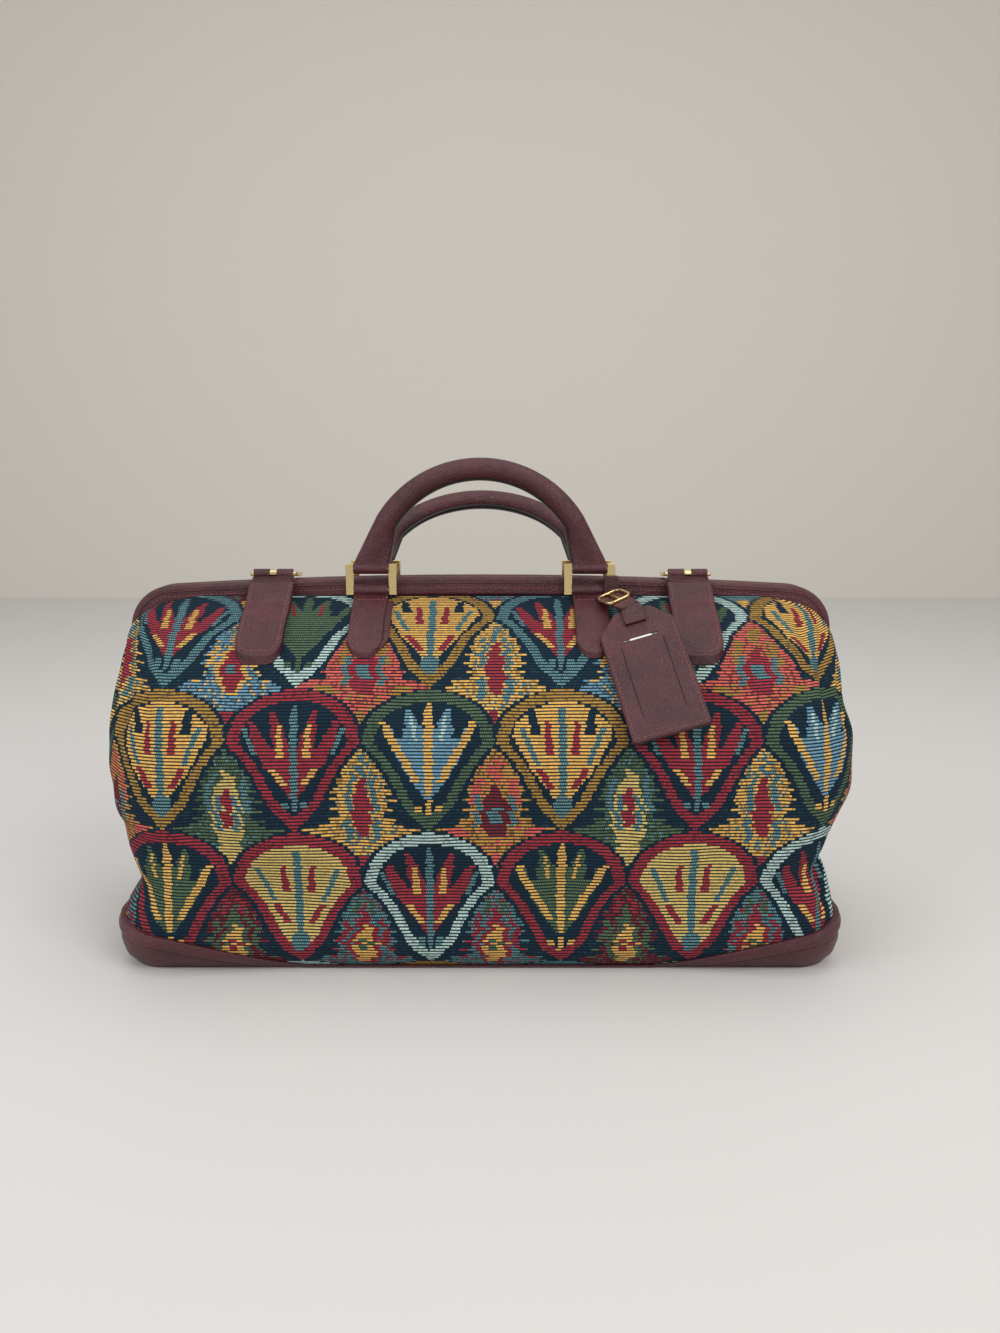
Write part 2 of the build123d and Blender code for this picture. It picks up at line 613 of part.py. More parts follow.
def tag_loop():
    """Thong of the tag round the outer bar of the right front ring."""
    bar_inner = HANDLE_SPACING / 2 + RING_INNER_WIDTH / 2
    bar_outer = bar_inner + RING_BAR_WIDTH
    front = RING_DEPTH - RING_BAR_DEPTH / 2 - LOOP_FRONT_GAP
    back = RING_DEPTH + RING_BAR_DEPTH / 2 + LOOP_SIDE_GAP
    low = LOWER_ROD + EYE_RADIUS + LOOP_SIDE_GAP
    high = low + LOOP_HEIGHT
    side = LOOP_SIDE_GAP + LOOP_THICKNESS
    band = slab((bar_inner - side, front, low), (bar_outer + side, back + LOOP_THICKNESS, high))
    hole = slab((bar_inner - LOOP_SIDE_GAP, front, low), (bar_outer + LOOP_SIDE_GAP, back, high))
    tail_foot = TAG_STRAP_START[2] + TAG_STRAP_GAP
    tail = slab((bar_inner - side, front - LOOP_THICKNESS, tail_foot), (bar_outer + side, front, high))
    return band - hole + tail


def main():
    left, right = -HANDLE_SPACING / 2, HANDLE_SPACING / 2
    tab_left, tab_right = -TAB_SPACING / 2, TAB_SPACING / 2
    parts = panels()
    parts["leather_base"] = leather_base()
    parts["base_board"] = base_board()

    binding = frame_binding()
    pin = hinge_pin()
    parts["front_frame_bar"] = mirrored(frame_bar(FRONT_LUG_FACE))
    parts["front_frame_binding"] = mirrored(binding)
    parts["rear_frame_bar"] = frame_bar(REAR_LUG_FACE)
    parts["rear_frame_binding"] = binding
    parts["right_hinge_pin"] = pin
    parts["left_hinge_pin"] = mirror(pin, about=Plane.YZ)

    ring = brass_ring()
    front_handle = handle()
    for side, x, slip in (("left", left, CHAPE_PLY_SLIP), ("right", right, 0)):
        front_chape = chape(x, slip)
        parts[f"front_{side}_chape"] = front_chape
        parts[f"rear_{side}_chape"] = mirrored(front_chape)
        parts[f"front_{side}_ring"] = Pos(x, 0, 0) * ring
        parts[f"rear_{side}_ring"] = mirrored(Pos(x, 0, 0) * ring)
    parts["front_handle"] = front_handle
    lean = Pos(0, -RING_DEPTH, UPPER_ROD) * Rot(-REAR_LEAN, 0, 0) * Pos(0, RING_DEPTH, -UPPER_ROD)
    parts["rear_handle"] = lean * mirrored(front_handle)

    for side, x in (("left", tab_left), ("right", tab_right)):
        parts[f"{side}_closure_tab"] = closure_tab(x)
        parts[f"{side}_buckle"] = buckle(x)
        parts[f"{side}_buckle_prong"] = prong(x)
        parts[f"{side}_rear_billet"] = mirrored(billet(x))

    parts["tag_body"] = tag_body()
    parts["tag_card"] = tag_card()
    parts["tag_strap"] = tag_strap()
    parts["tag_buckle"] = tag_buckle()
    parts["tag_loop"] = tag_loop()

    os.makedirs("parts", exist_ok=True)
    for name, shape in parts.items():
        export_step(shape, f"parts/{name}.step")


main()
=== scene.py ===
import math

import bpy
import numpy as np
from mathutils import Matrix, Vector
from mathutils.bvhtree import BVHTree


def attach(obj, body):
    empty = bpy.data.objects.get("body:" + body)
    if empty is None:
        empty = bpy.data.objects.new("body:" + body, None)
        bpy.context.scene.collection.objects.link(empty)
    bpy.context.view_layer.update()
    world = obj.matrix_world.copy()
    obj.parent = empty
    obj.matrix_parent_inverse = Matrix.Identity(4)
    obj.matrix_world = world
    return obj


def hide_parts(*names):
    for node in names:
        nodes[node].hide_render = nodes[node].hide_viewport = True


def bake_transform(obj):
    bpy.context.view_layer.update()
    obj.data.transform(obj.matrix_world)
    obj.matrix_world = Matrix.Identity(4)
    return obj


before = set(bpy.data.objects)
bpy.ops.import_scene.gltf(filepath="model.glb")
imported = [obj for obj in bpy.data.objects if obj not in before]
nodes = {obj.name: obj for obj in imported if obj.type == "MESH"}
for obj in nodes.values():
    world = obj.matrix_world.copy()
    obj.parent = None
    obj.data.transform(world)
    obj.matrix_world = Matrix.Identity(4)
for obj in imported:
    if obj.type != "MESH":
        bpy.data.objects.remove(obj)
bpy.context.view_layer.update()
bpy.context.view_layer.update()
MM = 0.001


# Materials

def srgb(r, g, b):
    """Linear colour of an 8-bit sRGB one."""
    out = []
    for c in (r, g, b):
        c = c / 255
        out.append(c / 12.92 if c <= 0.04045 else ((c + 0.055) / 1.055) ** 2.4)
    return tuple(out)


def new_material(name):
    """An empty node material with a principled shader: the material, its tree and the shader."""
    mat = bpy.data.materials.new(name)
    mat.use_nodes = True
    tree = mat.node_tree
    tree.nodes.clear()
    out = tree.nodes.new("ShaderNodeOutputMaterial")
    bsdf = tree.nodes.new("ShaderNodeBsdfPrincipled")
    tree.links.new(bsdf.outputs["BSDF"], out.inputs["Surface"])
    return mat, tree, bsdf


def node(tree, kind, **values):
    """A node with its sockets or settings set by name."""
    made = tree.nodes.new(kind)
    for key, value in values.items():
        if key in made.inputs:
            made.inputs[key].default_value = value
        else:
            setattr(made, key, value)
    return made


def math_node(tree, operation, *values):
    """Output of a math node; each value is a number or a socket."""
    made = node(tree, "ShaderNodeMath", operation=operation)
    for socket, value in zip(made.inputs, values):
        if isinstance(value, (int, float)):
            socket.default_value = value
        else:
            tree.links.new(value, socket)
    return made.outputs[0]


def bump(tree, bsdf, height, strength, distance):
    """Raises the shader's surface by a height socket."""
    made = node(tree, "ShaderNodeBump", Strength=strength, Distance=distance)
    tree.links.new(height, made.inputs["Height"])
    tree.links.new(made.outputs["Normal"], bsdf.inputs["Normal"])


def plain_material(name, color, roughness, metallic=0.0, grain=0.0, scale=400.0):
    """One colour, with an optional fine grain."""
    mat, tree, bsdf = new_material(name)
    bsdf.inputs["Base Color"].default_value = (*color, 1)
    bsdf.inputs["Roughness"].default_value = roughness
    bsdf.inputs["Metallic"].default_value = metallic
    if grain:
        coords = node(tree, "ShaderNodeTexCoord")
        noise = node(tree, "ShaderNodeTexNoise", Scale=scale, Detail=3.0)
        tree.links.new(coords.outputs["Object"], noise.inputs["Vector"])
        bump(tree, bsdf, noise.outputs["Fac"], grain, 0.0005)
    return mat


def leather_material(name, dark, light, roughness, grain):
    """Pebbled leather: soft mottling, small cells and faint creases."""
    mat, tree, bsdf = new_material(name)
    coords = node(tree, "ShaderNodeTexCoord")
    mottle = node(tree, "ShaderNodeTexNoise", Scale=30.0, Detail=6.0, Roughness=0.62)
    tree.links.new(coords.outputs["Object"], mottle.inputs["Vector"])
    ramp = node(tree, "ShaderNodeValToRGB")
    for stop, (position, color) in zip(ramp.color_ramp.elements, ((0.30, dark), (0.74, light))):
        stop.position = position
        stop.color = (*color, 1)
    tree.links.new(mottle.outputs["Fac"], ramp.inputs["Fac"])
    tree.links.new(ramp.outputs["Color"], bsdf.inputs["Base Color"])
    cells = node(tree, "ShaderNodeTexVoronoi", Scale=560.0, feature="DISTANCE_TO_EDGE")
    tree.links.new(coords.outputs["Object"], cells.inputs["Vector"])
    crease = node(tree, "ShaderNodeTexNoise", Scale=140.0, Detail=4.0)
    tree.links.new(coords.outputs["Object"], crease.inputs["Vector"])
    pebble = math_node(tree, "MULTIPLY", math_node(tree, "MINIMUM", cells.outputs["Distance"], 0.25), 1.3)
    bump(tree, bsdf, math_node(tree, "ADD", pebble, crease.outputs["Fac"]), grain, 0.0009)
    shine = node(tree, "ShaderNodeMapRange")
    shine.inputs["To Min"].default_value = roughness - 0.07
    shine.inputs["To Max"].default_value = roughness + 0.10
    tree.links.new(crease.outputs["Fac"], shine.inputs["Value"])
    tree.links.new(shine.outputs["Result"], bsdf.inputs["Roughness"])
    bsdf.inputs["Specular IOR Level"].default_value = 0.5
    return mat


def tapestry_material():
    """Ribbed tapestry: the design is in the mesh colours; the yarns and the dark gaps between ribs (dark warp
    with painted shade) are made here.
    """
    mat, tree, bsdf = new_material("tapestry")
    design = node(tree, "ShaderNodeAttribute", attribute_name="Design")
    weave = node(tree, "ShaderNodeUVMap", uv_map="Weave")
    split = node(tree, "ShaderNodeSeparateXYZ")
    tree.links.new(weave.outputs["UV"], split.inputs["Vector"])
    across, rib = split.outputs["X"], split.outputs["Y"]
    turn = math_node(tree, "MULTIPLY", rib, math.pi)
    # Darker towards the gap between ribs: the dark warp, with painted shade of the rib valleys
    yarn = node(tree, "ShaderNodeMapRange", interpolation_type="SMOOTHSTEP")
    yarn.inputs["From Min"].default_value = 0.36
    yarn.inputs["From Max"].default_value = 0.86
    tree.links.new(math_node(tree, "ABSOLUTE", math_node(tree, "SINE", turn)), yarn.inputs["Value"])
    # Bright yarns float over the ribs, the others are bound down in short stitches
    stitch = math_node(tree, "SINE", math_node(tree, "MULTIPLY_ADD", across, STITCH_TURNS, turn))
    bound = math_node(tree, "MULTIPLY_ADD", stitch, 0.28, 0.66)
    loose = math_node(tree, "SUBTRACT", 1.0, bound)
    cover = math_node(tree, "MULTIPLY_ADD", design.outputs["Alpha"], loose, bound)
    coords = node(tree, "ShaderNodeTexCoord")
    fuzz = node(tree, "ShaderNodeTexNoise", Scale=900.0, Detail=2.0)
    tree.links.new(coords.outputs["Object"], fuzz.inputs["Vector"])
    fuzzy = math_node(tree, "MULTIPLY_ADD", fuzz.outputs["Fac"], 0.7, 0.65)
    show = math_node(tree, "MULTIPLY", math_node(tree, "MULTIPLY", yarn.outputs["Result"], cover), fuzzy)
    mix = node(tree, "ShaderNodeMix", data_type="RGBA")
    mix.inputs["A"].default_value = (*WARP_AND_GAP_SHADE, 1)
    tree.links.new(design.outputs["Color"], mix.inputs["B"])
    tree.links.new(show, mix.inputs["Factor"])
    tree.links.new(mix.outputs["Result"], bsdf.inputs["Base Color"])
    bump(tree, bsdf, math_node(tree, "MULTIPLY_ADD", stitch, 0.08, yarn.outputs["Result"]), 0.5, 0.0009)
    bsdf.inputs["Roughness"].default_value = 0.85
    bsdf.inputs["Specular IOR Level"].default_value = 0.16
    return mat


RIB = 2.4
WEAVE_UNIT = 10
STITCH_TURNS = 2 * math.pi / 0.17
# Colour between the ribs: dark warp, darkened further as painted shade of the valleys
WARP_AND_GAP_SHADE = srgb(13, 25, 34)
LEATHER = leather_material("burgundy_leather", srgb(56, 16, 24), srgb(86, 32, 41), 0.40, 0.75)
BRASS = plain_material("pale_brass", srgb(232, 208, 150), 0.24, 1.0, 0.05, 300.0)
STEEL = plain_material("frame_steel", srgb(150, 150, 152), 0.35, 1.0)
BOARD = plain_material("board", srgb(120, 98, 76), 0.9, 0.0, 0.2)
CARD = plain_material("card", srgb(238, 235, 226), 0.8)
EDGE = plain_material("edge_paint", srgb(20, 14, 16), 0.4)
THREAD = plain_material("thread", srgb(122, 66, 70), 0.7)
# Near-black for the tag's slits: painted shade inside the cuts
SLIT_SHADE = plain_material("slit_shade", srgb(30, 10, 15), 0.8)
INSIDE = plain_material("cloth_inside", srgb(70, 62, 58), 0.95, 0.0, 0.4, 700.0)
TAPESTRY = tapestry_material()


# The tapestry design: shields with a palmette in each, and serrated leaves between them

NAVY = srgb(20, 50, 68)
SLATE = srgb(32, 70, 84)
RED = srgb(172, 54, 66)
WINE = srgb(136, 42, 54)
CORAL = srgb(208, 98, 86)
GOLD = srgb(222, 174, 92)
PALE_GOLD = srgb(208, 182, 108)
OCHRE = srgb(190, 142, 72)
OLIVE = srgb(178, 138, 66)
GREEN = srgb(96, 122, 90)
TEAL = srgb(108, 154, 160)
STEEL_BLUE = srgb(112, 156, 178)
AQUA = srgb(176, 202, 196)

PITCH_X = 94.5
PITCH_V = 104.0
FIRST_X = 59.0
FIRST_V = 11.0
LEAF_LEVEL = 0.61
REAR_SHIFT = 31.0
HALO = 3.5
MOTIF_SPREAD = 1.12
MOTIF_STRETCH = 1.17
BROAD_LEAF, BROAD_SHARE = (2, 1), 1.45
NOISE_ROWS, NOISE_LENGTH = 64, 4096
RIB_SHIFT, MOTIF_SHIFT = 0.45, 1.2
TONE_STEP, SHADE_STEP, SHADE_NOISE = 1.7, 1.3, 0.09
JAG_OUT, JAG_IN, JAG_NOISE = 3.4, -1.8, 1.4
FLOAT_FROM, FLOAT_OVER = 0.36, 0.15
EVEN_RIB, ODD_RIB = 1.04, 0.94

# Half widths in mm at heights in mm above the foot
SHIELD = [(0, 0), (9, 9), (18, 17), (30, 23), (42, 29), (54, 37), (61, 44), (64, 46.5), (68, 46),
          (76, 44), (84, 40), (91, 33), (97, 24), (101, 14), (104, 0)]
SHIELD_HOLLOW = [(11, 0), (18, 8), (24, 13), (33, 17), (44, 23), (54, 30), (60, 35), (64, 38), (68, 37.5),
                 (76, 35), (83, 30), (88, 24), (92, 16), (95, 0)]
LEAF = [(0, 0), (6, 4), (14, 9), (22, 14), (30, 17), (34, 22), (38, 35), (41, 37), (44, 32), (48, 22),
        (52, 19), (62, 21), (72, 20), (82, 17), (92, 10), (99, 5), (104, 0)]

# Strokes of the motifs: a colour's place in the motif's colours,
# then points of (height, distance from the middle, half width)
TULIP = [
    (0, [(20, 0, 1.5), (30, 0, 9), (40, 0, 17), (48, 0, 20), (51, 0, 18)]),
    (0, [(44, 5, 5), (60, 10, 4.6), (74, 14, 1.5)]),
    (0, [(40, 13, 5), (54, 21, 4.8), (67, 27, 1.8)]),
    (1, [(45, 8, 2.6), (65, 9.5, 1.4)]),
    (1, [(28, 5, 2.2), (40, 14, 2.2)]),
    (2, [(47, 24, 1.6), (63, 31, 1.6)]),
    (2, [(12, 0, 1.2), (22, 0, 2.2), (70, 0, 2.6), (78, 0, 1.0)]),
    (2, [(14, 5.5, 2.2), (19, 6, 2.2)]),
]
FLAME = [
    (0, [(21, 0, 2), (33, 0, 12), (46, 0, 20), (58, 0, 25), (64, 0, 24)]),
    (0, [(58, 8, 7), (76, 13, 1.5)]),
    (3, [(57, 18, 3.2), (72, 21, 2.2)]),
    (1, [(30, 7, 2.4), (44, 15, 2.6), (56, 23, 2.9), (67, 28, 2.2)]),
    (2, [(56, 8, 1.4), (72, 11, 1.0)]),
    (1, [(22, 0, 1.5), (32, 0, 2.6), (72, 0, 3.0), (80, 0, 1.2)]),
    (1, [(10, 0, 1.8), (20, 0, 1.8)]),
    (1, [(13, 6, 2.4), (17, 7, 2.0)]),
]
SHELL = [
    (0, [(16, 0, 2), (26, 0, 9), (36, 0, 18), (46, 0, 24), (58, 0, 31), (66, 0, 30), (74, 0, 20),
         (80, 0, 7)]),
    (3, [(60, 17, 3.4), (74, 19, 2.2)]),
    (2, [(42, 16, 1.6), (64, 26, 1.9)]),
    (1, [(48, 8, 2.8), (67, 9.5, 1.5)]),
    (1, [(27, 7, 2.4), (39, 15, 2.2)]),
    (2, [(20, 0, 1.5), (30, 0, 2.6), (76, 0, 2.4)]),
    (2, [(9, 0, 2), (14, 0, 6), (19, 0, 6), (22, 0, 3)]),
]
CONE = [
    (1, [(56, 10, 2.2), (84, 7, 1.5)]),
    (1, [(30, 9, 2.0), (48, 11, 2.8)]),
    (2, [(36, 0, 3), (48, 0, 7), (60, 0, 6.5), (74, 0, 3), (86, 0, 1.4)]),
    (1, [(78, 0, 1.6), (90, 0, 2.6), (96, 0, 1.2)]),
    (2, [(7, 0, 1.6), (16, 0, 5), (22, 0, 3)]),
]
BUD = [
    (1, [(54, 15, 2.2), (80, 11, 2)]),
    (2, [(26, 0, 5), (42, 0, 12), (56, 0, 12), (72, 0, 8), (86, 0, 1.5)]),
    (1, [(40, 6, 2.2), (56, 8, 2.2), (66, 5, 1.8)]),
    (3, [(44, 0, 2.5), (51, 0, 5.5), (57, 0, 2.4), (63, 0, 4.5), (72, 0, 1.5)]),
    (2, [(8, 0, 3), (18, 0, 10), (24, 0, 13), (29, 0, 7)]),
]
THISTLE = [
    (1, [(60, 15, 4), (80, 12, 3)]),
    (1, [(36, 25, 7), (43, 30, 6)]),
    (2, [(42, 13, 2.2), (66, 12, 2.2)]),
    (3, [(36, 0, 6), (46, 0, 10), (60, 0, 10), (67, 0, 5), (74, 0, 2)]),
    (2, [(46, 0, 4.5), (58, 0, 4.5)]),
    (1, [(77, 0, 2), (86, 0, 5.5), (93, 0, 2.5)]),
    (1, [(8, 0, 2), (17, 0, 5.5), (24, 0, 2)]),
]
EMBER = [
    (1, [(36, 0, 4), (48, 0, 12), (58, 0, 12), (70, 0, 7), (80, 0, 2.5), (88, 0, 1)]),
    (1, [(44, 26, 3), (60, 17, 3), (76, 12, 2)]),
    (2, [(38, 0, 3), (50, 0, 8.5), (60, 0, 7), (72, 0, 2)]),
    (3, [(52, 0, 3), (60, 0, 3)]),
    (3, [(80, 7, 2), (92, 4, 2)]),
    (2, [(8, 0, 3), (18, 0, 8), (24, 0, 4)]),
]

# Motif, its colours and the rim's colour, for rows from the foot up and the three kinds in turn
SHIELDS = [
    [(TULIP, (RED, GOLD, TEAL, NAVY), AQUA), (FLAME, (GREEN, GOLD, GOLD, NAVY), RED),
     (SHELL, (PALE_GOLD, RED, TEAL, PALE_GOLD), RED)],
    [(TULIP, (RED, GOLD, TEAL, NAVY), RED), (FLAME, (STEEL_BLUE, GOLD, AQUA, NAVY), GREEN),
     (SHELL, (GOLD, RED, TEAL, NAVY), OLIVE)],
    [(TULIP, (RED, GOLD, TEAL, NAVY), TEAL), (FLAME, (GREEN, GREEN, RED, NAVY), AQUA),
     (SHELL, (GOLD, RED, TEAL, NAVY), OLIVE)],
]
LEAVES = [
    [(EMBER, (WINE, GREEN, GOLD, RED)), (EMBER, (TEAL, RED, GOLD, GREEN)), (EMBER, (TEAL, RED, GOLD, GREEN))],
    [(BUD, (GREEN, TEAL, PALE_GOLD, RED)), (CONE, (GOLD, TEAL, RED)), (THISTLE, (OCHRE, CORAL, TEAL, WINE))],
    [(EMBER, (STEEL_BLUE, GOLD, RED, TEAL)), (THISTLE, (CORAL, OLIVE, TEAL, RED)), (CONE, (GOLD, TEAL, RED))],
]


def width_at(table, y):
    """Half width of an outline at heights y; nothing above or below it."""
    heights, widths = zip(*table)
    return np.interp(y, heights, widths, left=0, right=0)


def draw(out, strokes, colors, x, y):
    """Paints a motif's strokes, the same on both sides of its middle line."""
    for color, points in strokes:
        heights, places, halves = zip(*points)
        near = np.abs(np.abs(x) - np.interp(y, heights, places)) <= np.interp(y, heights, halves)
        out[near & (y >= heights[0]) & (y <= heights[-1])] = colors[color]


def design(u, v):
    """Colours of the cloth at u along the bag and v up it, in mm; alpha is 1 where the yarn floats."""
    shape = u.shape
    u, v = u.ravel().copy(), v.ravel()
    ribs = np.floor(v / RIB).astype(int)
    noise = np.random.default_rng(3).normal(0, 1, (NOISE_ROWS, NOISE_LENGTH))
    u += RIB_SHIFT * noise[0, ribs % NOISE_LENGTH]
    tone = noise[1 + ribs % 60, np.floor(u / TONE_STEP).astype(int) % NOISE_LENGTH]
    out = np.where((tone > 1.1)[:, None], SLATE, NAVY)

    column = np.floor((u - FIRST_X) / PITCH_X).astype(int)
    x = u - FIRST_X - (column + 0.5) * PITCH_X
    climb = (v - FIRST_V) / PITCH_V - LEAF_LEVEL
    row = np.floor(climb).astype(int)
    y = (climb - row) * PITCH_V
    width = width_at(LEAF, y)
    jag = np.where(ribs % 3 == 0, JAG_OUT, JAG_IN)
    jag = jag + JAG_NOISE * noise[61, (ribs * 7 + column * 13) % NOISE_LENGTH]
    jag = np.where(width > 3, jag, 0)
    for r in range(3):
        for c in range(3):
            edge = width * (BROAD_SHARE if (r, c) == BROAD_LEAF else 1) + jag
            here = np.nonzero((np.abs(x) < edge) & ((row + 1) % 3 == r) & (column % 3 == c))[0]
            strokes, colors = LEAVES[r][c]
            patch = np.tile(np.array(colors[0]), (here.size, 1))
            patch[(tone[here] > 0.75)] = np.array(colors[0]) * 0.62
            patch[(tone[here] < -1.0) & (np.abs(x[here]) < 0.8 * width[here])] = colors[1]
            moved = MOTIF_SHIFT * noise[62, ribs[here] % NOISE_LENGTH]
            draw(patch, strokes, colors, x[here] + moved, y[here])
            out[here] = patch

    column = np.floor((u - FIRST_X + PITCH_X / 2) / PITCH_X).astype(int)
    x = u - FIRST_X - column * PITCH_X
    climb = (v - FIRST_V) / PITCH_V
    row = np.floor(climb).astype(int)
    y = (climb - row) * PITCH_V
    width = width_at(SHIELD, y)
    hollow = np.abs(x) < width_at(SHIELD_HOLLOW, y)
    out[(np.abs(x) < width + HALO) & (y > 3)] = NAVY
    kind = (column + row + 1) % 3
    for r in range(3):
        for c in range(3):
            here = np.nonzero((np.abs(x) < width) & (row % 3 == r) & (kind == c))[0]
            strokes, colors, rim = SHIELDS[r][c]
            patch = np.tile(np.array(rim), (here.size, 1))
            patch[tone[here] > 1.0] *= 0.75
            patch[hollow[here]] = colors[3]
            draw(patch, strokes, colors, x[here] / MOTIF_SPREAD, y[here] / MOTIF_STRETCH)
            out[here] = patch
    floats = np.clip((out.max(1) - FLOAT_FROM) / FLOAT_OVER, 0, 1)
    shade = 1 + SHADE_NOISE * noise[63, (ribs * 131 + np.floor(u / SHADE_STEP).astype(int)) % NOISE_LENGTH]
    rib_shade = np.where(ribs % 2 == 0, EVEN_RIB, ODD_RIB)
    out = np.clip(out * shade[:, None] * rib_shade[:, None], 0, 1)
    return np.column_stack([out, floats]).reshape(*shape, 4)


# The body's form, with the same levels as the solid's

BODY_LENGTH, BODY_DEPTH, BODY_TOP, FLOOR = 552.0, 216.0, 267.5, 2.2
HINGE = 172.0
CLOTH_EDGE = 11.6
END_TAKE_UP = 45.0
TUCK_UNDER_RAIL = 2.4
CLOTH_THICKNESS = 2.2
SECTION_SHARES = np.array([
    (0.000, 0.945, 0.870, 0.12),
    (0.030, 0.962, 0.935, 0.14),
    (0.200, 0.955, 0.965, 0.19),
    (0.300, 0.950, 0.985, 0.23),
    (0.500, 1.000, 1.010, 0.27),
    (0.640, 1.002, 0.990, 0.28),
    (0.790, 0.985, 0.810, 0.26),
    (0.900, 0.972, 0.570, 0.21),
    (0.955, 0.935, 0.365, 0.14),
    (0.985, 0.865, 0.210, 0.08),
    (1.000, 0.785, 0.125, 0.04),
])


def smooth_curve(x, xs, ys):
    """Natural cubic spline through points."""
    n = len(xs)
    d = np.diff(xs)
    a = np.eye(n)
    r = np.zeros(n)
    for i in range(1, n - 1):
        a[i, i - 1], a[i, i], a[i, i + 1] = d[i - 1], 2 * (d[i - 1] + d[i]), d[i]
        r[i] = 6 * ((ys[i + 1] - ys[i]) / d[i] - (ys[i] - ys[i - 1]) / d[i - 1])
    m = np.linalg.solve(a, r)
    k = np.clip(np.searchsorted(xs, x) - 1, 0, n - 2)
    t = x - xs[k]
    w = d[k]
    b = (ys[k + 1] - ys[k]) / w - w * (2 * m[k] + m[k + 1]) / 6
    return ys[k] + t * (b + t * (m[k] / 2 + t * (m[k + 1] - m[k]) / (6 * w)))


HEIGHTS = FLOOR + (BODY_TOP - FLOOR) * SECTION_SHARES[:, 0]
HALF_DEPTHS = SECTION_SHARES[:, 2] * BODY_DEPTH / 2
STEPS = np.concatenate([[0], np.cumsum(np.hypot(np.diff(HEIGHTS), np.diff(HALF_DEPTHS)))])
FINE = np.linspace(0, STEPS[-1], 600)
FINE_Z = smooth_curve(FINE, STEPS, HEIGHTS)
FINE_A = smooth_curve(FINE, STEPS, SECTION_SHARES[:, 1] * BODY_LENGTH / 2)
FINE_B = smooth_curve(FINE, STEPS, HALF_DEPTHS)
FINE_R = smooth_curve(FINE, STEPS, SECTION_SHARES[:, 3] * BODY_DEPTH)


def level(z):
    """Half length, half depth and corner radius of the cloth at height z, in mm."""
    return np.interp(z, FINE_Z, FINE_A), np.interp(z, FINE_Z, FINE_B), np.interp(z, FINE_Z, FINE_R)


PROFILE_Z = np.linspace(FLOOR, BODY_TOP, 900)
PROFILE_B = level(PROFILE_Z)[1]
PROFILE_V = FLOOR + np.concatenate([[0], np.cumsum(np.hypot(np.diff(PROFILE_Z), np.diff(PROFILE_B)))])


def around(s, a, b, r):
    """Point of a level's outline at distance s from the middle of the front, and its outward direction."""
    run = a - r
    turn = np.clip((s - run) / r, 0, math.pi / 2)
    past = np.maximum(s - run - r * math.pi / 2, 0)
    x = np.minimum(s, run) + r * np.sin(turn)
    y = -(b - r) - r * np.cos(turn) + past
    return x, y, np.sin(turn), -np.cos(turn)


def reach(a, b, r, stop):
    """Distance from the middle of the front to where the outline comes to y = -stop at the end."""
    straight = b - r - stop
    in_turn = np.arccos(np.clip((stop - (b - r)) / np.maximum(r, 1e-6), 0, 1))
    return np.where(straight > 0, a - r + r * math.pi / 2 + straight, a - r + r * in_turn)


END_LEATHER_HEIGHT, END_LEATHER_RUN, END_LEATHER_KNEE_SHARE, BASE_LEATHER = 46.0, 132.0, 0.45, 2.2
END_INNER = BODY_LENGTH * SECTION_SHARES[0, 1] / 2 - END_LEATHER_RUN
END_OUTER = BODY_LENGTH / 2 + 20.0
EDGE_X = np.array([END_INNER, END_INNER + END_LEATHER_RUN * END_LEATHER_KNEE_SHARE, END_OUTER])
EDGE_Z = np.array([BASE_LEATHER, END_LEATHER_HEIGHT * END_LEATHER_KNEE_SHARE, END_LEATHER_HEIGHT])


def leather_top(x):
    """Height of the leather's top edge at x along the bag."""
    x = np.abs(x)
    return np.where(x > END_INNER, smooth_curve(np.maximum(x, END_INNER), EDGE_X, EDGE_Z), BASE_LEATHER)


def waves(seed, size):
    """A smooth random field over a surface, about -1 to 1."""
    r = np.random.default_rng(seed)
    parts = [(*r.uniform(0.5, 1.6, 2) / size, *r.uniform(0, 2 * math.pi, 2)) for _ in range(9)]

    def field(u, v):
        total = 0
        for ku, kv, pu, pv in parts:
            total = total + np.sin(u * ku * 2 * math.pi + pu) * np.sin(v * kv * 2 * math.pi + pv)
        return total / 3.2
    return field


SAG = waves(21, 150.0)
RIPPLE = waves(22, 52.0)
CREASE = waves(23, 34.0)


def dimple(u, v, cu, cv, su, sv, tilt):
    """A smooth hill of height 1 at (cu, cv), su by sv wide and turned by tilt."""
    du, dv = u - cu, v - cv
    c, s = math.cos(tilt), math.sin(tilt)
    return np.exp(-(((du * c + dv * s) / su) ** 2) - (((dv * c - du * s) / sv) ** 2))


# Folds of the cloth: height in mm, then the place, half sizes and tilt of a dimple
FRONT_FOLDS = [
    (-17, 296, 92, 50, 11, 0.30),
    (2, 262, 122, 50, 18, 0.25),
    (-9, 268, 70, 9, 26, -0.35),
    (4, 246, 76, 9, 26, -0.3),
    (-7, -290, 70, 52, 13, -0.1),
    (-3, -250, 104, 40, 8, -0.25),
    (-3.5, 196, 176, 15, 46, 0.35),
    (3, 222, 172, 14, 40, 0.35),
    (-6, 250, 240, 9, 28, 0.2),
    (-3.5, -248, 240, 10, 24, -0.2),
    (2, -150, 110, 60, 40, 0),
]
REAR_FOLDS = [
    (-8, 280, 78, 52, 12, -0.2),
    (-9, -285, 84, 52, 12, 0.25),
    (-2.5, 40, 150, 60, 24, 0.2),
]
SAG_HEIGHT, RIPPLE_HEIGHT = 2.4, 1.0
PLEAT_PITCH, PLEAT_HEIGHT, PLEAT_HOLLOW = 22, 2.6, 1.5
DEEPEST_FOLD, HIGHEST_FOLD = -17, 5.5
SEAM_RUN = 10


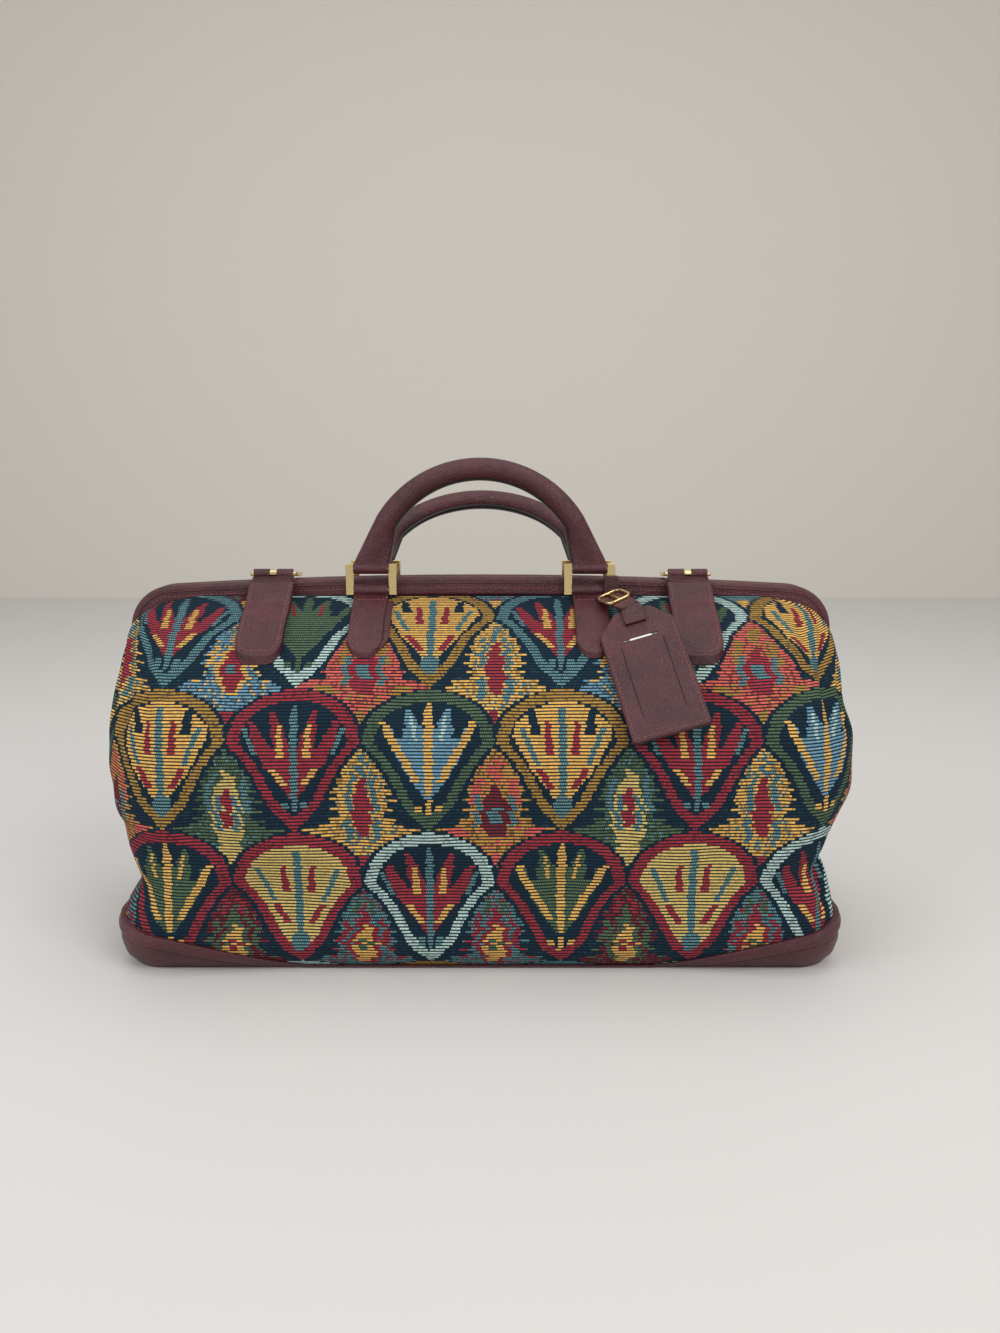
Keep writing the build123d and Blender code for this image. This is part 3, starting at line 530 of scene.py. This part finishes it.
def sculpt(s, v, x, z, front):
    """How far the cloth stands out from its plain form, in mm: sag, folds and pleats at the arms."""
    under_straps = np.clip((v - 205) / 30, 0, 1) * np.clip((215 - np.abs(s)) / 20, 0, 1)
    above_leather = np.clip((z - leather_top(x) - 3) / 32, 0, 1)
    d = (SAG_HEIGHT * SAG(s, v) + RIPPLE_HEIGHT * RIPPLE(s, v)) * above_leather * (1 - under_straps)
    end = np.clip((np.abs(s) - 215) / 50, 0, 1)
    arm = np.clip((z - 165) / 25, 0, 1) * np.clip((264 - z) / 18, 0, 1)
    pleats = np.sin(np.abs(s) * 2 * math.pi / PLEAT_PITCH + 1.1 * np.sin(z / 14) + 0.8 * np.sign(s))
    d = d + (PLEAT_HEIGHT * pleats - PLEAT_HOLLOW) * end * arm
    for height, *place in FRONT_FOLDS if front else REAR_FOLDS:
        d = d + height * dimple(s, v, *place)
    return np.clip(d, DEEPEST_FOLD, HIGHEST_FOLD) * np.clip(above_leather * 4, 0, 1)


def grid_mesh(name, points, flip=False, closed=False):
    """Smooth mesh of a grid of points in metres; closed joins the last column to the first."""
    rows, cols = points.shape[:2]
    index = np.arange(rows * cols).reshape(rows, cols)
    if closed:
        index = np.concatenate([index, index[:, :1]], 1)
    quads = np.stack([index[:-1, :-1], index[:-1, 1:], index[1:, 1:], index[1:, :-1]], -1).reshape(-1, 4)
    if flip:
        quads = quads[:, ::-1]
    mesh = bpy.data.meshes.new(name)
    mesh.from_pydata(points.reshape(-1, 3).tolist(), [], quads.tolist())
    mesh.update()
    mesh.shade_smooth()
    return mesh


def add_piece(name, mesh, material):
    """A scene piece with one material."""
    obj = bpy.data.objects.new(name, mesh)
    bpy.context.scene.collection.objects.link(obj)
    obj.data.materials.clear()
    obj.data.materials.append(material)
    return obj


def cloth_points(v, f_low, f_high, columns, front, shrink=0.0):
    """Points of the cloth between two shares of the half outline, and how far along and up it they are."""
    z = np.interp(v, PROFILE_V, PROFILE_Z)
    a, b, r = (q[:, None] for q in level(z))
    full = reach(a, b, r, 0.0)
    limit = reach(a, b, r, np.where(z > HINGE, CLOTH_EDGE, 0.0)[:, None])
    s = np.linspace(f_low, f_high, columns)[None, :] * full
    s = s - np.sign(s) * (full - limit) * np.clip((np.abs(s) - full) / END_TAKE_UP + 1, 0, 1)
    x, y, nx, ny = around(np.abs(s), a, b, r)
    vv, zz = np.broadcast_to(v[:, None], s.shape), np.broadcast_to(z[:, None], s.shape)
    seam = np.clip((limit - np.abs(s)) / SEAM_RUN, 0, 1) * np.clip((PROFILE_V[-1] - vv) / SEAM_RUN, 0, 1)
    d = sculpt(s, vv, x, zz, front) * seam - shrink
    slope = np.interp(zz, PROFILE_Z[:-1], np.diff(PROFILE_B) / np.diff(PROFILE_Z))
    flat = 1 / np.sqrt(1 + slope**2)
    side = np.where(s < 0, -1, 1)
    facing = 1 if front else -1
    px = side * (x + d * nx * flat)
    py = facing * (y + d * ny * flat)
    pz = zz - d * slope * flat * np.abs(ny)
    return np.stack([px, py, pz], -1) * MM, s, vv


def cloth_piece(name, z_low, z_high, f_low, f_high, columns, front):
    """One outer face of tapestry, in rows of one rib, with its design and weave coordinates."""
    v_low, v_high = np.interp([z_low, z_high], PROFILE_Z, PROFILE_V)
    v = np.clip(np.arange(math.floor(v_low / RIB), math.ceil(v_high / RIB) + 1) * RIB, v_low, v_high)
    points, s, vv = cloth_points(v, f_low, f_high, columns, front)
    if z_high == BODY_TOP:
        tucked = points[-1:] - np.sign(points[-1:]) * (0, TUCK_UNDER_RAIL * MM, 0)
        points = np.concatenate([points, tucked])
        s = np.concatenate([s, s[-1:]])
        vv = np.concatenate([vv, vv[-1:]])
    mesh = grid_mesh(name, points, flip=not front)
    u = (s[:-1, :-1] + s[1:, 1:]) / 2 * (1 if front else -1) + (0 if front else REAR_SHIFT)
    colors = design(u, (vv[:-1, :-1] + vv[1:, 1:]) / 2).reshape(-1, 4)
    layer = mesh.color_attributes.new("Design", "FLOAT_COLOR", "CORNER")
    layer.data.foreach_set("color", np.repeat(colors, 4, 0).astype(np.float32).ravel())
    loops = np.zeros(len(mesh.loops), np.int32)
    mesh.loops.foreach_get("vertex_index", loops)
    weave = np.stack([s.ravel() / WEAVE_UNIT, vv.ravel() / RIB], -1)[loops]
    mesh.uv_layers.new(name="Weave").data.foreach_set("uv", weave.astype(np.float32).ravel())
    return add_piece(name, mesh, TAPESTRY)


def inner_piece(name, z_low, z_high, front):
    """The inner face of the cloth."""
    v = np.linspace(*np.interp([z_low, z_high], PROFILE_Z, PROFILE_V), 44)
    points = cloth_points(v, -1, 1, 130, front, shrink=CLOTH_THICKNESS)[0]
    return add_piece(name, grid_mesh(name, points, flip=front), INSIDE)


front_pieces = [
    cloth_piece("front_cloth_left", FLOOR, BODY_TOP, -1, 0, 440, True),
    cloth_piece("front_cloth_right", FLOOR, BODY_TOP, 0, 1, 440, True),
    inner_piece("front_cloth_inner", FLOOR + 3, BODY_TOP, True),
]
rear_pieces = [
    cloth_piece("rear_cloth", FLOOR, HINGE, -1, 1, 620, False),
    inner_piece("rear_cloth_inner", FLOOR + 3, HINGE, False),
]
roof_pieces = [
    cloth_piece("rear_roof_cloth", HINGE, BODY_TOP, -1, 1, 620, False),
    inner_piece("rear_roof_inner", HINGE, BODY_TOP, False),
]
for piece in front_pieces:
    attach(piece, "bag_body")
    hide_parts("front_panel")
for piece in rear_pieces:
    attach(piece, "bag_body")
    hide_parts("rear_panel")

# The rear roof, and the leather on it, as pieces with their world places baked in; the solids they stand for
# are hidden
for piece in roof_pieces:
    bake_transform(piece)
    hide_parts("rear_panel_roof")
for name in ("rear_left_chape", "rear_right_chape", "left_rear_billet", "right_rear_billet"):
    mesh = nodes[name].data.copy()
    mesh.transform(nodes[name].matrix_world)
    piece = add_piece(name + "_bending", mesh, LEATHER)
    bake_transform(piece)
    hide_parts(name)


# Leather base: a raised band along its top edge, a groove under it and soft creases

BAND_WIDTH, BAND_STEP, BAND_HEIGHT = 10.2, 1.4, 1.6
SWELL_DROP, SWELL_RUN, SWELL_HEIGHT = 5.5, 3.2, 0.8
GROOVE_DROP, GROOVE_RUN, GROOVE_DEPTH = 11.2, 1.1, 1.0
CREASE_HEIGHT = 0.5
UNDERSIDE_INSET, UNDERSIDE_HEIGHT = 15, 0.3


def base_leather():
    """The leather bottom with its turned-up ends, as one skin round the bag."""
    shares = np.linspace(0, 1, 240)
    a, b, r = level(np.array(FLOOR))
    top = leather_top(around(shares * reach(a, b, r, 0.0), a, b, r)[0])
    low = np.minimum(2.6, top - 0.4)
    tall = np.clip((top - 10) / 12, 0, 1)
    rows = []
    ground = np.zeros_like(low)
    under = [(ground, -22.0), (ground, -5.0), (low * 0.2, -1.4), (low * 0.6, -0.2)]
    wall = [(low + (top - 0.3 - low) * t, 0.0) for t in np.linspace(0, 1, 60)]
    over = [(top + 0.2, -0.7), (top + 0.2, -1.9), (top - 0.1, -3.2)]
    for z, out in under + wall + over:
        a, b, r = level(np.maximum(z, FLOOR))
        s = shares * reach(a, b, r, 0.0)
        x, y, nx, ny = around(s, a, b, r)
        drop = top - z
        band = BAND_HEIGHT * np.clip((BAND_WIDTH - drop) / BAND_STEP, 0, 1)
        swell = SWELL_HEIGHT * np.exp(-(((drop - SWELL_DROP) / SWELL_RUN) ** 2))
        groove = GROOVE_DEPTH * np.exp(-(((drop - GROOVE_DROP) / GROOVE_RUN) ** 2))
        below_band = np.clip((drop - 12) / 8, 0, 1) * np.clip(z / 8, 0, 1)
        soft = CREASE_HEIGHT * CREASE(s * 0.8, z * 1.2) * below_band
        grow = BASE_LEATHER + out + (band + swell - groove + soft) * tall * (out == 0)
        rows.append(np.stack([x + grow * nx, y + grow * ny, z], -1))
    quarter = np.array(rows)
    right = np.concatenate([quarter, (quarter * (1, -1, 1))[:, -2::-1]], 1)
    left = (right * (-1, 1, 1))[:, -2:0:-1]
    return grid_mesh("base_leather", np.concatenate([right, left], 1) * MM, closed=True)


def base_underside():
    """The flat underside, inside the rim of the base."""
    a, b, r = level(np.array(FLOOR))
    x, y, nx, ny = around(np.linspace(0, 1, 40) * reach(a, b, r, 0.0), a, b, r)
    inner_x, inner_y = x - UNDERSIDE_INSET * nx, y - UNDERSIDE_INSET * ny
    quarter = np.stack([inner_x, inner_y, np.full_like(x, UNDERSIDE_HEIGHT)], -1)
    half = np.concatenate([quarter, (quarter * (1, -1, 1))[-2::-1]], 0)
    ring = np.concatenate([half, (half * (-1, 1, 1))[-2:0:-1]], 0)
    mesh = bpy.data.meshes.new("base_underside")
    mesh.from_pydata((ring * MM).tolist(), [], [list(range(len(ring)))[::-1]])
    return mesh


for name, mesh in (("base_leather", base_leather()), ("base_underside", base_underside())):
    piece = add_piece(name, mesh, LEATHER)
    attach(piece, "bag_body")
    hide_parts("leather_base")


# Solids that are shown as they are

for name, obj in nodes.items():
    if "frame_bar" in name or "hinge_pin" in name:
        material = STEEL
    elif "ring" in name or "buckle" in name:
        material = BRASS
    elif name == "base_board":
        material = BOARD
    elif name == "tag_card":
        material = CARD
    else:
        material = LEATHER
    obj.data.materials.clear()
    obj.data.materials.append(material)


# Seams: stitches, a crease along the rails, and the painted edge under the handles

STITCH_PITCH, STITCH_LENGTH, STITCH_WIDTH, STITCH_HEIGHT = 3.6, 2.7, 0.42, 0.32


def resample(points, step):
    """Points at even steps along a line."""
    points = np.array(points)
    run = np.concatenate([[0], np.cumsum(np.linalg.norm(np.diff(points, axis=0), axis=1))])
    marks = np.arange(step / 2, run[-1], step)
    return np.stack([np.interp(marks, run, points[:, i]) for i in range(3)], -1)


def tube(name, points, normals, half_width, half_height, sides=8):
    """A flattened tube along points in mm; the normals say which way is up."""
    points, normals = np.array(points), np.array(normals)
    along = np.gradient(points, axis=0)
    along /= np.linalg.norm(along, axis=1)[:, None]
    across = np.cross(along, normals)
    across /= np.linalg.norm(across, axis=1)[:, None]
    up = np.cross(across, along)
    turn = np.linspace(0, 2 * math.pi, sides, endpoint=False)[None, :, None]
    sideways = half_width * np.cos(turn) * across[:, None]
    upward = half_height * np.sin(turn) * up[:, None]
    return grid_mesh(name, (points[:, None] + sideways + upward) * MM, flip=True, closed=True)


def stitches(name, lines, body):
    """Thread stitches along lines of (points, normals) in mm, as one piece on a body."""
    turn = np.linspace(0, 2 * math.pi, 6, endpoint=False)
    spots, faces = [], []
    for points, normals in lines:
        places = resample(points, STITCH_PITCH)
        ups = np.array([normals[np.argmin(np.linalg.norm(np.array(points) - p, axis=1))] for p in places])
        along = np.gradient(places, axis=0)
        along /= np.linalg.norm(along, axis=1)[:, None]
        across = np.cross(along, ups)
        for p, t, c, n in zip(places, along, across, ups):
            first = len(spots)
            for share, full in ((-0.5, 0.25), (-0.3, 1.0), (0.3, 1.0), (0.5, 0.25)):
                for q in turn:
                    round_it = c * STITCH_WIDTH * math.cos(q) + n * STITCH_HEIGHT * math.sin(q)
                    spots.append(p + t * share * STITCH_LENGTH + full * round_it)
            for ring in range(3):
                for k in range(6):
                    a, b = first + ring * 6 + k, first + ring * 6 + (k + 1) % 6
                    faces.append((a, a + 6, b + 6, b))
    mesh = bpy.data.meshes.new(name)
    mesh.from_pydata((np.array(spots) * MM).tolist(), [], faces)
    mesh.shade_smooth()
    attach(add_piece(name, mesh, THREAD), body)


def lay_on(node_name, plan):
    """A line of plan points in mm dropped onto a solid: its points and normals."""
    obj = nodes[node_name]
    corners = [obj.matrix_world @ v.co for v in obj.data.vertices]
    tree = BVHTree.FromPolygons(corners, [tuple(p.vertices) for p in obj.data.polygons])
    points, normals = [], []
    for x, y in plan:
        hit, normal, _, _ = tree.ray_cast(Vector((x * MM, y * MM, 0.5)), Vector((0, 0, -1)))
        if hit is not None:
            points.append(np.array(hit) / MM)
            normals.append(np.array(normal) if normal.z > 0 else -np.array(normal))
    return points, normals


def strap_line(x, half_width, start, reach_to, corner):
    """Plan line down one side of a strap, round its end and up the other."""
    down = [(x - half_width, -y) for y in np.linspace(start, reach_to - corner, 40)]
    left = [(x - half_width + corner * (1 - math.cos(q)), -reach_to + corner * (1 - math.sin(q)))
            for q in np.linspace(0, math.pi / 2, 14)]
    end = left + [(2 * x - px, py) for px, py in left[::-1]]
    return down + end + [(2 * x - px, py) for px, py in down[::-1]]


TAB_X, TAB_WIDTH, TAB_REACH, TAB_END_SHARE = 160.0, 34.0, 78.0, 0.32
CHAPE_X, CHAPE_WIDTH = 83.5, 25.8
TAB_SEAM_START, TAB_CROSS_SEAM, CHAPE_CROSS_SEAM = 18.0, 31.0, 27.0
SEAM_INSET = 2.8
for side, sign in (("left", -1), ("right", 1)):
    tab = f"{side}_closure_tab"
    half = TAB_WIDTH / 2 - SEAM_INSET
    corner = TAB_WIDTH * TAB_END_SHARE - SEAM_INSET
    border = strap_line(sign * TAB_X, half, TAB_SEAM_START, TAB_REACH - SEAM_INSET, corner)
    cross = [(sign * TAB_X + q, -TAB_CROSS_SEAM) for q in np.linspace(-half, half, 20)]
    stitches(f"{tab}_stitches", [lay_on(tab, border), lay_on(tab, cross)], "bag_body")
    chape = f"front_{side}_chape"
    half = CHAPE_WIDTH / 2 - SEAM_INSET
    cross = [(sign * CHAPE_X + q, -CHAPE_CROSS_SEAM) for q in np.linspace(-half, half, 20)]
    stitches(f"{chape}_stitches", [lay_on(chape, cross)], "bag_body")

FRAME_HALF, FRAME_TOP, FRAME_RISE, FRAME_CORNER = 272.0, 282.0, 9.0, 34.0
BINDING_FACE, BINDING_END = 11.3, 181.0
RAIL_SEAM, RAIL_CREASE, CREASE_SUNK = 8.6, 4.8, 0.25


def rail_line(inset, y):
    """Line on the face of a rail and down its arms, `inset` in from its outer edge."""
    half, corner = FRAME_HALF - inset, FRAME_CORNER - inset
    radius = (FRAME_HALF**2 + FRAME_RISE**2) / (2 * FRAME_RISE)
    middle = FRAME_TOP - radius
    radius -= inset
    knee_x = half - corner
    knee_z = middle + math.sqrt((radius - corner) ** 2 - knee_x**2)
    tilt = math.atan2(knee_z - middle, knee_x)
    arm = [(half, y, z) for z in np.linspace(BINDING_END + 4, knee_z, 30)]
    knee = [(knee_x + corner * math.cos(q), y, knee_z + corner * math.sin(q))
            for q in np.linspace(0, tilt, 20)]
    top = [(radius * math.cos(q), y, middle + radius * math.sin(q))
           for q in np.linspace(tilt, math.pi / 2, 60)]
    right = arm + knee[1:] + top[1:]
    return right + [(-px, py, pz) for px, py, pz in right[-2::-1]]


for side, sign, body in (("front", -1, "bag_body"), ("rear", 1, "rear_frame")):
    seam = rail_line(RAIL_SEAM, sign * BINDING_FACE)
    crease = rail_line(RAIL_CREASE, sign * (BINDING_FACE - CREASE_SUNK))
    up = np.array([(0, sign, 0)] * len(seam))
    stitches(f"{side}_rail_stitches", [(seam, up)], body)
    mesh = tube(f"{side}_rail_crease", crease, up, 0.75, 0.7)
    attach(add_piece(f"{side}_rail_crease", mesh, LEATHER), body)

RING_DEPTH, UPPER_ROD, REAR_LEAN = 16.1, 288.9, 49.0
HANDLE_HALF, HANDLE_FOOT, HANDLE_CROWN, HANDLE_RADIUS, EYE_LENGTH = 83.5, 293.26, 364.2, 7.8, 25.8
ARCH_RISE = HANDLE_CROWN - HANDLE_FOOT
ARCH_RADIUS = (HANDLE_HALF**2 + ARCH_RISE**2) / (2 * ARCH_RISE)
ARCH_MIDDLE = HANDLE_CROWN - ARCH_RADIUS
ROLL_START = math.radians(32)


def handle_edge():
    """Inner line of the upright front handle from foot to foot, and its directions away from the leather."""
    inner = ARCH_RADIUS - HANDLE_RADIUS - 0.2
    turn = np.linspace(ROLL_START, math.pi - ROLL_START, 90)
    arch = [(inner * math.cos(q), ARCH_MIDDLE + inner * math.sin(q)) for q in turn]
    foot_x = HANDLE_HALF - EYE_LENGTH / 2
    start = [(foot_x + (arch[0][0] - foot_x) * t, HANDLE_FOOT + (arch[0][1] - HANDLE_FOOT) * t)
             for t in np.linspace(0, 1, 12)[:-1]]
    line = start + arch + [(-x, z) for x, z in start[::-1]]
    points = np.array([(x, -RING_DEPTH, z) for x, z in line])
    away = np.array([(-x, 0, ARCH_MIDDLE - z) for x, z in line])
    return points, away / np.linalg.norm(away, axis=1)[:, None]


edge_points, edge_away = handle_edge()
lean = Matrix.Rotation(math.radians(-REAR_LEAN), 3, "X")
pivot = np.array((0, RING_DEPTH, UPPER_ROD))
rear_points = np.array([lean @ Vector(p * (1, -1, 1) - pivot) for p in edge_points]) + pivot
rear_away = np.array([lean @ Vector(n * (1, -1, 1)) for n in edge_away])
handle_edges = (("front_handle", edge_points, edge_away), ("rear_handle", rear_points, rear_away))
for body, points, away in handle_edges:
    mesh = tube(f"{body}_edge", points, away, 2.3, 1.3)
    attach(add_piece(f"{body}_edge", mesh, EDGE), body)


# Luggage tag: border stitches, two slits drawn as dark strips of painted shade, and the edge of the card

TAG_TOP = Vector((111.0, -0.5407 * BODY_DEPTH / 2, 261.3))
TAG_FOOT = Vector((133.5, -1.1148 * BODY_DEPTH / 2, 184.3))
TAG_WIDTH, TAG_THICKNESS, TAG_SHOULDER, TAG_CARD_MARGIN, TAG_SLIT_X = 56.0, 3.6, 15.0, 8.0, 15.5
TAG_SLIT_TOP, TAG_SLIT_FOOT, CARD_EDGE_HALF = 28.0, 84.0, 8.0
TAG_LENGTH = (TAG_TOP - TAG_FOOT).length
tag_up = (TAG_TOP - TAG_FOOT).normalized()
tag_across = tag_up.cross(Vector((0, -1, 0))).normalized()
tag_facing = tag_across.cross(tag_up)


def on_tag(corners, steps):
    """Points along lines between corners on the tag's face, each x across and y down from its top, in mm."""
    points = []
    for (x0, y0), (x1, y1) in zip(corners, corners[1:]):
        for t in np.linspace(0, 1, steps):
            x, y = x0 + (x1 - x0) * t, y0 + (y1 - y0) * t
            points.append(np.array(TAG_TOP + tag_across * x - tag_up * y + tag_facing * TAG_THICKNESS))
    return points


def tag_strip(name, corners, half_width, half_height, material):
    """A thin flat line on the face of the tag."""
    points = on_tag(corners, 8)
    mesh = tube(name, points, [tag_facing] * len(points), half_width, half_height)
    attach(add_piece(name, mesh, material), "luggage_tag")


tag_half, tag_end = TAG_WIDTH / 2 - SEAM_INSET, TAG_LENGTH - SEAM_INSET
tag_start = TAG_SHOULDER + 2
tag_corners = [(-tag_half, tag_start), (-tag_half, tag_end), (tag_half, tag_end), (tag_half, tag_start)]
border = on_tag(tag_corners, 40)
stitches("tag_stitches", [(border, np.array([tag_facing] * len(border)))], "luggage_tag")
for side, sign in (("left", -1), ("right", 1)):
    # Each slit is a dark strip of painted shade where the leather is cut
    slit_shade = [(sign * TAG_SLIT_X, TAG_SLIT_TOP), (sign * TAG_SLIT_X, TAG_SLIT_FOOT)]
    tag_strip(f"tag_{side}_slit", slit_shade, 0.4, 0.12, SLIT_SHADE)
card_y = TAG_SHOULDER + TAG_CARD_MARGIN + 1.0
card_edge = [(-CARD_EDGE_HALF, card_y), (CARD_EDGE_HALF, card_y)]
tag_strip("tag_card_edge", card_edge, 0.7, 0.3, CARD)


# Floor, light and camera

bpy.ops.mesh.primitive_plane_add(size=12, location=(0, 0, 0))
floor = bpy.context.object
floor.name = "floor"
floor.data.materials.append(plain_material("floor", srgb(214, 212, 210), 0.55))
bpy.ops.mesh.primitive_plane_add(size=12, location=(0, 2.2, 0), rotation=(math.pi / 2, 0, 0))
wall = bpy.context.object
wall.name = "backdrop"
wall.data.materials.append(plain_material("backdrop", srgb(216, 211, 202), 0.9))


def area_light(name, place, aim, size, power, color=(1, 1, 1)):
    """A rectangular lamp at a place, turned to a point."""
    data = bpy.data.lights.new(name, "AREA")
    data.shape = "RECTANGLE"
    data.size, data.size_y = size
    data.energy = power
    data.color = color
    lamp = bpy.data.objects.new(name, data)
    bpy.context.scene.collection.objects.link(lamp)
    lamp.location = place
    lamp.rotation_mode = "QUATERNION"
    lamp.rotation_quaternion = (Vector(aim) - Vector(place)).to_track_quat("-Z", "Y")


area_light("key", (1.3, -1.6, 1.7), (0, 0, 0.15), (1.4, 1.4), 30, (1.0, 0.98, 0.95))
area_light("fill", (-1.7, -1.2, 1.1), (0, 0, 0.15), (1.6, 1.4), 18, (0.96, 0.98, 1.0))
area_light("top", (0, 0.2, 2.1), (0, 0, 0.1), (2.2, 1.8), 16)
world = bpy.data.worlds.new("studio")
bpy.context.scene.world = world
world.use_nodes = True
world.node_tree.nodes["Background"].inputs["Color"].default_value = (0.95, 0.95, 0.95, 1)
world.node_tree.nodes["Background"].inputs["Strength"].default_value = 0.5

camera = bpy.data.cameras.new("camera")
camera.sensor_width = 36
camera.lens = 28.4
camera_object = bpy.data.objects.new("camera", camera)
bpy.context.scene.collection.objects.link(camera_object)
camera_object.location = (0.015, -0.820, 0.363)
camera_object.rotation_euler = (math.radians(90 - 10.6), 0, 0)
bpy.context.scene.camera = camera_object
bpy.context.scene.view_settings.view_transform = "Standard"
